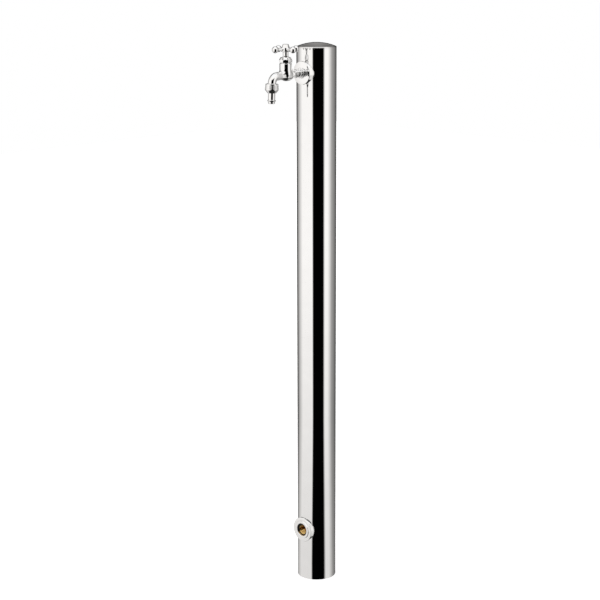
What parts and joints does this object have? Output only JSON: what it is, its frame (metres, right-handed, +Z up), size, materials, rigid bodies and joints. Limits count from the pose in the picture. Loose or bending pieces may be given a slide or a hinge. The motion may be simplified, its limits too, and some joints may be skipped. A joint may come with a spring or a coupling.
{
  "type": "garden standpipe",
  "caption": "Polished round garden standpipe with a domed lid, a cross-handled screw-down tap with a hose nipple near the top, and a threaded water inlet near the foot.",
  "frame": {"origin": "on the post's axis at its foot, in the plane that the foot stands on", "axes": "+Z up along the post, -Y towards the side that the tap and the inlet face, +X to the right as seen from the front"},
  "size_m": [0.078, 0.1715, 1.0972],
  "materials": {
    "polished_post": "mirror polished stainless steel",
    "satin_cap": "satin stainless steel",
    "brass_castings": "bare brass",
    "bare_spindle": "plated stem over brass",
    "steel_hardware": "plain steel",
    "chrome_fittings": "bright chrome",
    "chrome_tap": "bright chrome on brass",
    "chrome_handle": "bright chrome",
    "chrome_union": "bright chrome on brass",
    "black_rubber": "matte rubber",
    "riser_plastic": "rigid water pipe",
    "foam_lagging": "closed-cell foam"
  },
  "bodies": {
    "post": {"post_tube": "polished_post", "top_cap": "satin_cap", "cap_seal_ring": "black_rubber", "upper_elbow": "brass_castings", "lower_elbow": "brass_castings", "upper_backing_washer": "steel_hardware", "lower_backing_washer": "steel_hardware", "upper_saddle": "chrome_fittings", "lower_saddle": "chrome_fittings", "upper_saddle_gasket": "black_rubber", "lower_saddle_gasket": "black_rubber", "inlet_plate": "chrome_fittings", "inlet_ring_nut": "chrome_fittings", "inlet_seal_ring": "black_rubber", "riser_pipe": "riser_plastic", "upper_union_nut": "steel_hardware", "lower_union_nut": "steel_hardware", "upper_union_gasket": "black_rubber", "lower_union_gasket": "black_rubber", "pipe_lagging": "foam_lagging", "tap_plate": "chrome_fittings", "tap_body": "chrome_tap", "cap_nut": "chrome_fittings", "packing_washer": "brass_castings", "gland_packing": "black_rubber"},
    "valve": {"jumper_valve": "brass_castings", "jumper_washer": "black_rubber", "jumper_nut": "brass_castings"},
    "handle": {"spindle": "bare_spindle", "cross_handle": "chrome_handle", "handle_screw": "steel_hardware", "handle_disc": "chrome_handle"},
    "nipple": {"hose_nipple": "chrome_union", "nipple_gasket": "black_rubber"},
    "coupling": {"coupling_nut": "chrome_union"}
  },
  "joints": [
    {"name": "valve_lift", "type": "slide", "parent": "post", "child": "valve", "axis": [0, 0, 1], "range_m": [0, 0.0045]},
    {"name": "handle_turn", "type": "hinge", "parent": "valve", "child": "handle", "pos_m": [0, -0.0827, 1.0872], "axis": [0, 0, 1], "range_deg": [0, 540]},
    {"name": "nipple_drop", "type": "slide", "parent": "post", "child": "nipple", "axis": [0, -0.0436, -0.999], "range_m": [0, 0.00544]},
    {"name": "coupling_nut_turn", "type": "hinge", "parent": "nipple", "child": "coupling", "pos_m": [0, -0.11935, 1.01502], "axis": [0, -0.0436, -0.999], "range_deg": [0, 1080]}
  ],
  "couplings": [
    {"joint": "valve_lift", "follows": "handle_turn", "m_per_rad": 0.00047746},
    {"joint": "nipple_drop", "follows": "coupling_nut_turn", "m_per_rad": 0.00028871}
  ]
}
